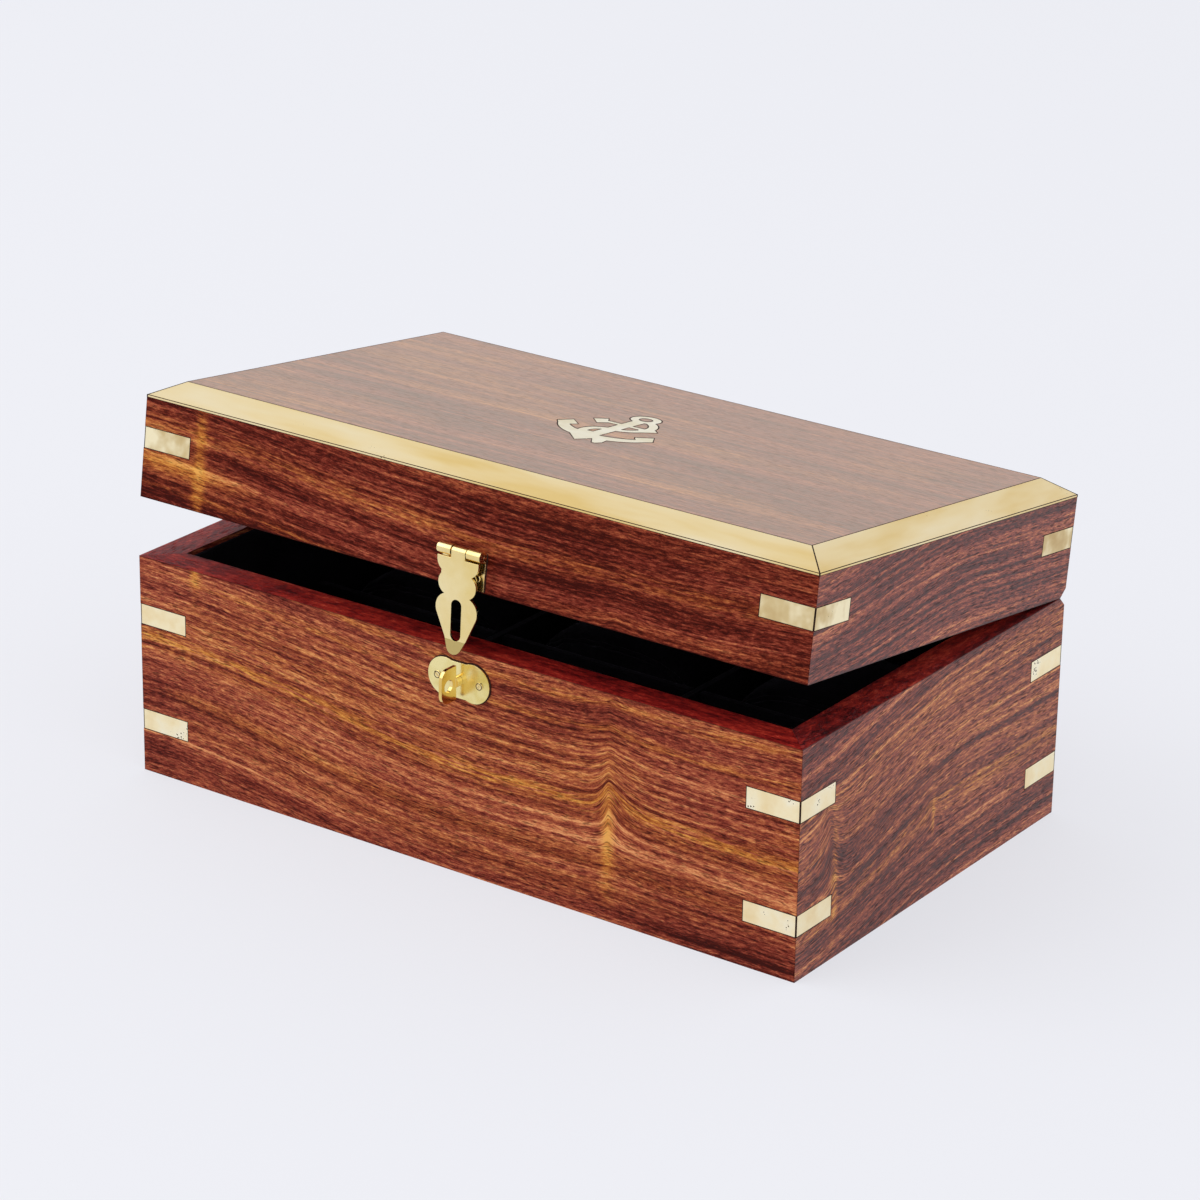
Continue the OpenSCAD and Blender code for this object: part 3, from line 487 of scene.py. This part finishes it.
def growMesh(source, tree, values):
    # runs a geometry tree over the source and keeps the plain mesh that comes out
    modifier = source.modifiers.new("grow", "NODES")
    modifier.node_group = tree
    for item in tree.interface.items_tree:
        if item.item_type == "SOCKET" and item.in_out == "INPUT" and item.name in values:
            modifier[item.identifier] = values[item.name]
    graph = bpy.context.evaluated_depsgraph_get()
    mesh = bpy.data.meshes.new_from_object(source.evaluated_get(graph), depsgraph=graph)
    source.modifiers.remove(modifier)
    bpy.data.objects.remove(source)
    return mesh


def newGeometryTree(name, inputs):
    tree = bpy.data.node_groups.new(name, "GeometryNodeTree")
    tree.interface.new_socket("Geometry", in_out="INPUT", socket_type="NodeSocketGeometry")
    for label, kind in inputs.items():
        tree.interface.new_socket(label, in_out="INPUT", socket_type="NodeSocket" + kind)
    tree.interface.new_socket("Geometry", in_out="OUTPUT", socket_type="NodeSocketGeometry")
    return tree, addNode(tree, "NodeGroupInput").outputs


glueAndShadeLine = {"tones": [(0.35, "#1d0d06"), (0.7, "#3a1c0e")], "grain": 2, "roughness": 0.8, "gloss": 0.2}
weld = 0.001 * mm      # points closer than this are one
sameWay = 0.999        # cosine from which a face looks a given way
# the outer sides of the lid's edge strips, and how far their bevel runs and falls
edgeOut = {"front": (0, -1, 0), "back": (0, 1, 0), "left": (-1, 0, 0), "right": (1, 0, 0)}
edgeRun, edgeFall = 8.9, 4.9
# how a piece's name starts, then how far the line round it is let in and the line's radius. Round the corners
# and the anchor the line is a glue joint; round the edge strips it is a glue joint, painted shadow under the
# lip and a plain dark line along the fold; round the plates and the screw heads it is painted shadow where
# they meet the wood
outlines = {
    "corner_": {"sunk": 0.18, "radius": 0.27},
    "edge_strip": {"sunk": 0.14, "radius": 0.19},
    "anchor_inlay": {"sunk": 0.22, "radius": 0.32},
    "hasp_back_plate": {"sunk": 0.05, "radius": 0.3},
    "catch_plate": {"sunk": 0.05, "radius": 0.3},
    "catch_screws": {"sunk": 0.04, "radius": 0.13, "longest": 0.5},
    "hasp_screws": {"sunk": 0.04, "radius": 0.13, "longest": 0.5},
}


def makeGlueAndShadeTree():
    tree, given = newGeometryTree("glueAndShadeLine", {"Radius": "Float", "Material": "Material"})
    path = addNode(tree, "GeometryNodeMeshToCurve", {0: given["Geometry"]})
    ring = addNode(tree, "GeometryNodeCurvePrimitiveCircle", {"Resolution": 8, "Radius": given["Radius"]})
    line = addNode(tree, "GeometryNodeCurveToMesh", {0: path, 1: ring, "Fill Caps": True})
    line = addNode(tree, "GeometryNodeRealizeInstances", {0: line})
    line = addNode(tree, "GeometryNodeSetMaterial", {"Geometry": line, "Material": given["Material"]})
    addNode(tree, "NodeGroupOutput", {0: line})
    return tree


def makeGlueAndShade(s):
    # rosin and sanding dust packed into the joints, a fine matt line, nearly black; the same line is painted
    # shadow under the edge strips' lip and round the plates and the screw heads
    material, tree, shader = newMaterial("darkGlueAndShade")
    coords = addNode(tree, "ShaderNodeTexCoord").outputs["Object"]
    grain = addNode(tree, "ShaderNodeTexNoise", {
        "Vector": coords, "Scale": 1 / (s["grain"] * mm), "Detail": 2.0})
    tint = addNode(tree, "ShaderNodeValToRGB", {"Fac": grain})
    setRamp(tint, s["tones"])
    tree.links.new(tint.outputs[0], shader.inputs["Base Color"])
    shader.inputs["Roughness"].default_value = s["roughness"]
    shader.inputs["Specular IOR Level"].default_value = s["gloss"]
    return material


def outlineSides(node):
    # the sides of the node whose outline shows, seen with the lid shut
    if node.startswith("corner_"):
        return [(1 if "right" in node else -1, 0, 0), (0, 1 if "back" in node else -1, 0)]
    if node.startswith("edge_strip"):
        out = edgeOut[node.split("_")[-1]]
        return [out, (out[0] * edgeFall, out[1] * edgeFall, edgeRun)]
    if node == "anchor_inlay":
        return [upwards]
    # a screw's head, or a plate's back, which lies against the wood; the line round it is painted shadow
    return [(0, -1, 0)] if node.endswith("screws") else [(0, 1, 0)]


def addOutline(node, direction, s, used, points, edges):
    # outline of the node's faces that look one way, let in a little below the surface
    edit = bmesh.new()
    edit.from_mesh(frame["nodes"][node].data)
    bmesh.ops.remove_doubles(edit, verts=edit.verts, dist=weld)
    faces = {f for f in edit.faces if f.normal.dot(direction) > sameWay}
    placed = {}
    longest = s.get("longest", math.inf) * mm      # leaves out the slots of the screws
    for edge in edit.edges:
        outer = sum(f in faces for f in edge.link_faces) == 1
        if outer and edge.calc_length() < longest and edge.index not in used:
            used.add(edge.index)
            for vert in edge.verts:
                if vert not in placed:
                    placed[vert] = len(points)
                    points.append(vert.co - direction * s["sunk"] * mm)
            edges.append([placed[vert] for vert in edge.verts])
    edit.free()


def makeGlueAndShadeLines():
    glueAndShade = makeGlueAndShade(glueAndShadeLine)
    tree = makeGlueAndShadeTree()
    for body in ("box", "lid"):
        whole = bmesh.new()
        for start, s in outlines.items():
            points, edges = [], []
            for node in sorted(n for n in frame["nodes"] if n.startswith(start)):
                onLid = node.startswith(("corner_lid", "edge", "anchor", "hasp"))
                if onLid != (body == "lid"):
                    continue
                used = set()
                for side in outlineSides(node):
                    addOutline(node, faceDirection(side, onLid), s, used, points, edges)
            if not points:
                continue
            wire = makeWire("outline", points, edges)
            lines = growMesh(wire, tree, {"Radius": s["radius"] * mm, "Material": glueAndShade})
            whole.from_mesh(lines)
            bpy.data.meshes.remove(lines)
        mesh = bpy.data.meshes.new("glueAndShade")
        whole.to_mesh(mesh)
        whole.free()
        makePiece("glueAndShade_lines_" + body, mesh, glueAndShade, body)
        print("glue lines on the", body, len(mesh.polygons))


makeGlueAndShadeLines()

velvet = {"tones": [(0.6, "#0a080a"), (0.95, "#1b181d")], "pile": 0.7, "pileShare": 0.5, "brushed": 22,
          "relief": (0.5, 0.3), "roughness": 0.95, "gloss": 0.1,
          "sheen": "#7d7684", "sheenWeight": 0.45, "sheenRough": 0.35}


def makeVelvet(name, s):
    # cotton velvet: nearly black, with a faint bloom where the pile turns away and where it was brushed
    material, tree, shader = newMaterial(name)
    coords = addNode(tree, "ShaderNodeTexCoord").outputs["Object"]
    pile = addNode(tree, "ShaderNodeTexNoise", {
        "Vector": coords, "Scale": 1 / (s["pile"] * mm), "Detail": 3.0})
    brushed = addNode(tree, "ShaderNodeTexNoise", {
        "Vector": coords, "Scale": 1 / (s["brushed"] * mm), "Detail": 2.0})
    mixed = addNode(tree, "ShaderNodeMath", {0: pile, 1: s["pileShare"], 2: brushed},
                    operation="MULTIPLY_ADD")
    tint = addNode(tree, "ShaderNodeValToRGB", {"Fac": mixed})
    setRamp(tint, s["tones"])
    tree.links.new(tint.outputs[0], shader.inputs["Base Color"])
    bump = addNode(tree, "ShaderNodeBump", {
        "Strength": s["relief"][0], "Distance": s["relief"][1] * mm, "Height": pile})
    tree.links.new(bump.outputs[0], shader.inputs["Normal"])
    shader.inputs["Roughness"].default_value = s["roughness"]
    shader.inputs["Specular IOR Level"].default_value = s["gloss"]
    shader.inputs["Sheen Weight"].default_value = s["sheenWeight"]
    shader.inputs["Sheen Roughness"].default_value = s["sheenRough"]
    shader.inputs["Sheen Tint"].default_value = linear(s["sheen"])
    return material


blackVelvet = makeVelvet("blackVelvet", velvet)
velvetBoard = {"edge": 0.6, "segments": 3, "flat": 0.02, "sharp": 0.5}      # flat and sharp are in radians


def wrapBoard(node, s):
    # velvet glued over card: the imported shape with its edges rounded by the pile
    edit = bmesh.new()
    edit.from_mesh(frame["nodes"][node].data)
    bmesh.ops.remove_doubles(edit, verts=edit.verts, dist=weld)
    bmesh.ops.dissolve_limit(edit, angle_limit=s["flat"], verts=edit.verts, edges=edit.edges)
    sharp = [e for e in edit.edges if len(e.link_faces) == 2 and e.calc_face_angle() > s["sharp"]]
    bmesh.ops.bevel(edit, geom=sharp, offset=s["edge"] * mm, segments=s["segments"], profile=0.5,
                    affect="EDGES", clamp_overlap=True)
    bmesh.ops.triangulate(edit, faces=edit.faces)
    mesh = bpy.data.meshes.new(node + "_velvet")
    edit.to_mesh(mesh)
    edit.free()
    body = "lid" if node.startswith("lid") else "box"
    piece = makePiece(node + "_velvet", mesh, blackVelvet, body)
    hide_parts(node)


for name in sorted(frame["nodes"]):
    if name.endswith("lining") or name.startswith("divider"):
        wrapBoard(name, velvetBoard)
print("velvet linings wrapped")

cushion = {
    "start": 0.93,                # size of the cover before it swells, as a share of its place
    "cells": 13,                  # cuts in each edge of the cube that becomes the roll
    "oval": 2.5,                  # powers that round the roll and its ends
    "ends": 4.5,
    "stiffness": (8, 15),         # of the cover; every second cushion has the stiffer one
    "quality": 5,
    "pressure": 4.0,
    "frames": 20,
    "cap": 7,                     # the furthest that a point may swell
    "smooth": 2,                  # levels of subdivision
    "flat": 0.94,                 # the underside, as a share of half the height
    "core": 4,                    # within this of the middle nothing is drawn in
    "seamAt": 0.76, "seamDepth": 1.3, "seamWidth": 1.8,
    "puckers": 26, "pucker": 0.35, "puckerReach": 4.5,
    "swings": 3, "swing": 0.4,    # how often round the seam the puckers grow and fade, and by what share
    "piping": 0.9, "pipingOut": 0.35, "loop": 120,
    "pitch": 3.2, "stitch": 1.5, "thread": 0.22, "beside": 1.7,
    "fill": 0.7,
}


def ovalRoll(half, s):
    # cube grid pushed out to an oval roll with rounded ends, centred on the origin
    edit = bmesh.new()
    bmesh.ops.create_cube(edit, size=2)
    bmesh.ops.subdivide_edges(edit, edges=edit.edges, cuts=s["cells"], use_grid_fill=True)
    for vert in edit.verts:
        x, y, z = vert.co
        ring = (abs(x) ** s["oval"] + abs(z) ** s["oval"]) ** (1 / s["oval"])
        size = (ring ** s["ends"] + abs(y) ** s["ends"]) ** (1 / s["ends"])
        vert.co = Vector((x * half.x, y * half.y, z * half.z)) / size
    mesh = bpy.data.meshes.new("roll")
    edit.to_mesh(mesh)
    edit.free()
    return mesh


def swell(half, s, stiffness):
    # the cover is cut a little small and blown up like a stuffed cushion
    roll = bpy.data.objects.new("roll", ovalRoll(half * s["start"], s))
    bpy.context.collection.objects.link(roll)
    before = [v.co.copy() for v in roll.data.vertices]
    cloth = roll.modifiers.new("swell", "CLOTH")
    cloth.settings.quality = s["quality"]
    cloth.settings.tension_stiffness = stiffness
    cloth.settings.use_pressure = True
    cloth.settings.uniform_pressure_force = s["pressure"]
    cloth.settings.effector_weights.gravity = 0
    cloth.point_cache.frame_start = 1
    cloth.point_cache.frame_end = s["frames"]
    for number in range(1, s["frames"] + 1):
        bpy.context.scene.frame_set(number)
    graph = bpy.context.evaluated_depsgraph_get()
    after = [v.co.copy() for v in roll.evaluated_get(graph).data.vertices]
    roll.modifiers.remove(cloth)
    bpy.context.scene.frame_set(1)
    for vert, a, b in zip(roll.data.vertices, before, after):
        move = b - a
        if move.length > s["cap"] * mm:
            move = move.normalized() * s["cap"] * mm
        vert.co = a + move
    smooth = roll.modifiers.new("smooth", "SUBSURF")
    smooth.levels = smooth.render_levels = s["smooth"]
    graph = bpy.context.evaluated_depsgraph_get()
    mesh = bpy.data.meshes.new_from_object(roll.evaluated_get(graph), depsgraph=graph)
    bpy.data.objects.remove(roll)
    return mesh


def dressRoll(mesh, half, s):
    # fit to the place, flatten the underside, draw in the two end seams with their puckers
    reach = [max(abs(v.co[i]) for v in mesh.vertices) for i in range(3)]
    seam = s["seamAt"] * half.y
    for vert in mesh.vertices:
        x, y, z = (vert.co[i] * half[i] / reach[i] for i in range(3))
        angle = math.atan2(z / half.z, x / half.x)
        off = (abs(y) - seam) / mm
        draw = s["seamDepth"] * math.exp(-(off / s["seamWidth"]) ** 2)
        phase = 2 if y > 0 else 0      # the two seams don't pucker alike
        ripple = s["pucker"] * math.sin(s["puckers"] * angle + phase) * math.exp(-abs(off) / s["puckerReach"])
        ripple *= 1 - s["swing"] + s["swing"] * math.sin(s["swings"] * angle + 1)
        out = Vector((x, 0, z))
        out = out.normalized() if out.length > s["core"] * mm else Vector((0, 0, 0))
        place = Vector((x, y, z)) - out * (draw + s["pucker"] - ripple) * mm
        place.z = max(place.z, -s["flat"] * half.z)
        vert.co = place
    return seam


def seamLoop(mesh, level, s):
    # points round the roll where the piping lies, a little proud of the cloth
    tree = BVHTree.FromPolygons([v.co for v in mesh.vertices], [p.vertices for p in mesh.polygons])
    loop = []
    for i in range(s["loop"]):
        a = 2 * math.pi * i / s["loop"]
        ray = Vector((math.cos(a), 0, math.sin(a)))
        hit = tree.ray_cast(Vector((0, level, 0)), ray)[0]
        loop.append(hit + ray * s["pipingOut"] * s["piping"] * mm)
    return loop


def makeSeamTree():
    # piping along a seam, and a run of stitches beside it
    tree, given = newGeometryTree("pipedSeam", {
        "Piping": "Float", "Pitch": "Float", "Stitch": "Float", "Thread": "Float", "Beside": "Float",
        "Material": "Material"})
    seam = addNode(tree, "GeometryNodeMeshToCurve", {0: given["Geometry"]})
    ring = addNode(tree, "GeometryNodeCurvePrimitiveCircle", {"Resolution": 8, "Radius": given["Piping"]})
    piping = addNode(tree, "GeometryNodeCurveToMesh", {0: seam, 1: ring})
    points = addNode(tree, "GeometryNodeCurveToPoints", {"Curve": seam, "Length": given["Pitch"]},
                     mode="LENGTH")
    half = addNode(tree, "ShaderNodeMath", {0: given["Stitch"], 1: 0.5}, operation="MULTIPLY")
    start = addNode(tree, "ShaderNodeMath", {0: half, 1: -1.0}, operation="MULTIPLY")
    a = addNode(tree, "ShaderNodeCombineXYZ", {2: start})
    b = addNode(tree, "ShaderNodeCombineXYZ", {2: half})
    thread = addNode(tree, "GeometryNodeCurvePrimitiveLine", {"Start": a, "End": b})
    section = addNode(tree, "GeometryNodeCurvePrimitiveCircle", {"Resolution": 5, "Radius": given["Thread"]})
    thread = addNode(tree, "GeometryNodeCurveToMesh", {0: thread, 1: section, "Fill Caps": True})
    run = addNode(tree, "GeometryNodeInstanceOnPoints", {
        "Points": points, "Instance": thread, "Rotation": points.outputs["Rotation"]})
    aside = addNode(tree, "ShaderNodeCombineXYZ", {1: given["Beside"]})
    run = addNode(tree, "GeometryNodeTransform", {"Geometry": run, "Translation": aside})
    joined = addNode(tree, "GeometryNodeJoinGeometry")
    tree.links.new(piping.outputs[0], joined.inputs[0])
    tree.links.new(run.outputs[0], joined.inputs[0])
    plain = addNode(tree, "GeometryNodeRealizeInstances", {0: joined})
    done = addNode(tree, "GeometryNodeSetMaterial", {"Geometry": plain, "Material": given["Material"]})
    addNode(tree, "NodeGroupOutput", {0: done})
    return tree


def makeCushions(s):
    seamTree = makeSeamTree()
    names = sorted(n for n in frame["nodes"] if n.startswith("cushion"))
    low, high = (Vector(c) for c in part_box(names[0]))
    half = (high - low) / 2
    shapes = []
    for stiffness in s["stiffness"]:
        mesh = swell(half, s, stiffness)
        shapes.append((mesh, dressRoll(mesh, half, s)))
    for number, name in enumerate(names):
        low, high = (Vector(c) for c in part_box(name))
        mesh, seam = shapes[number % len(shapes)]
        mesh = mesh.copy()
        edit = bmesh.new()
        edit.from_mesh(mesh)
        for side in (-1, 1):
            loop = seamLoop(mesh, side * seam, s)
            wire = makeWire("seam", loop, [(i, (i + 1) % len(loop)) for i in range(len(loop))])
            trim = growMesh(wire, seamTree, {
                "Piping": s["piping"] * mm, "Pitch": s["pitch"] * mm, "Stitch": s["stitch"] * mm,
                "Thread": s["thread"] * mm, "Beside": -side * s["beside"] * mm, "Material": blackVelvet})
            edit.from_mesh(trim)
            bpy.data.meshes.remove(trim)
        turn = Matrix.Rotation(math.pi * (number // 2 % 2), 4, "Z")
        bmesh.ops.transform(edit, matrix=Matrix.Translation((low + high) / 2) @ turn, verts=edit.verts)
        edit.to_mesh(mesh)
        edit.free()
        for face in mesh.polygons:
            face.use_smooth = True
            face.material_index = 0
        piece = makePiece("velvet_" + name, mesh, blackVelvet, "box")
        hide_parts(name)
    print("cushions stuffed", len(names))


makeCushions(cushion)

studio = {
    "floor": "#e9e9ee",
    "shown": "#eeeff4",
    "shade": 0.3,                 # how much of the box's shadow stays on the floor
    "world": 1.0,
    "reach": 6,
    "tooth": 1.11 * mm,           # the paper's tooth, then the strength and depth of its relief
    "relief": (0.05, 0.05 * mm),
    "roughness": 0.9,
    "gloss": 0.1,
    # each lamp's name, size, power and place; all look at the same spot
    "lamps": (("keyLight", 2.4, 22, (-1.3, -1.2, 1.9)), ("fillLight", 2.4, 6, (1.8, -0.9, 1.2))),
    "aim": (0, 0, 0.05),
}


def makeStage(s):
    mesh = bpy.data.meshes.new("floor")
    edit = bmesh.new()
    bmesh.ops.create_grid(edit, x_segments=1, y_segments=1, size=s["reach"])
    edit.to_mesh(mesh)
    edit.free()
    floor = bpy.data.objects.new("floor", mesh)
    bpy.context.collection.objects.link(floor)
    # white paper: the camera sees it evenly lit, with a part of the box's shadow left on it
    material, tree, shader = newMaterial("paperFloor")
    coords = addNode(tree, "ShaderNodeTexCoord").outputs["Object"]
    tooth = addNode(tree, "ShaderNodeTexNoise", {"Vector": coords, "Scale": 1 / s["tooth"], "Detail": 2.0})
    bump = addNode(tree, "ShaderNodeBump", {
        "Strength": s["relief"][0], "Distance": s["relief"][1], "Height": tooth})
    shader.inputs["Base Color"].default_value = linear(s["floor"])
    shader.inputs["Roughness"].default_value = s["roughness"]
    shader.inputs["Specular IOR Level"].default_value = s["gloss"]
    tree.links.new(bump.outputs[0], shader.inputs["Normal"])
    rays = addNode(tree, "ShaderNodeLightPath").outputs
    seen = addNode(tree, "ShaderNodeMath", {0: rays["Is Camera Ray"], 1: rays["Is Glossy Ray"]},
                   operation="MAXIMUM")
    seen = addNode(tree, "ShaderNodeMath", {0: seen, 1: 1 - s["shade"]}, operation="MULTIPLY")
    plain = addNode(tree, "ShaderNodeEmission", {"Color": linear(s["shown"]), "Strength": 1.0})
    both = addNode(tree, "ShaderNodeMixShader", {0: seen, 1: shader, 2: plain})
    out = next(n for n in tree.nodes if n.bl_idname == "ShaderNodeOutputMaterial")
    tree.links.new(both.outputs[0], out.inputs["Surface"])
    mesh.materials.append(material)

    world = bpy.data.worlds.new("studio")
    bpy.context.scene.world = world
    world.use_nodes = True
    tree = world.node_tree
    tree.nodes.clear()
    back = addNode(tree, "ShaderNodeBackground", {"Color": linear(s["shown"]), "Strength": s["world"]})
    addNode(tree, "ShaderNodeOutputWorld", {"Surface": back})

    for name, size, power, place in s["lamps"]:
        data = bpy.data.lights.new(name, "AREA")
        data.size = size
        data.energy = power
        lamp = bpy.data.objects.new(name, data)
        lamp.location = place
        lamp.rotation_euler = (Vector(s["aim"]) - Vector(place)).to_track_quat("-Z", "Y").to_euler()
        bpy.context.collection.objects.link(lamp)
    bpy.context.scene.view_settings.view_transform = "Standard"


makeStage(studio)
print("stage set")
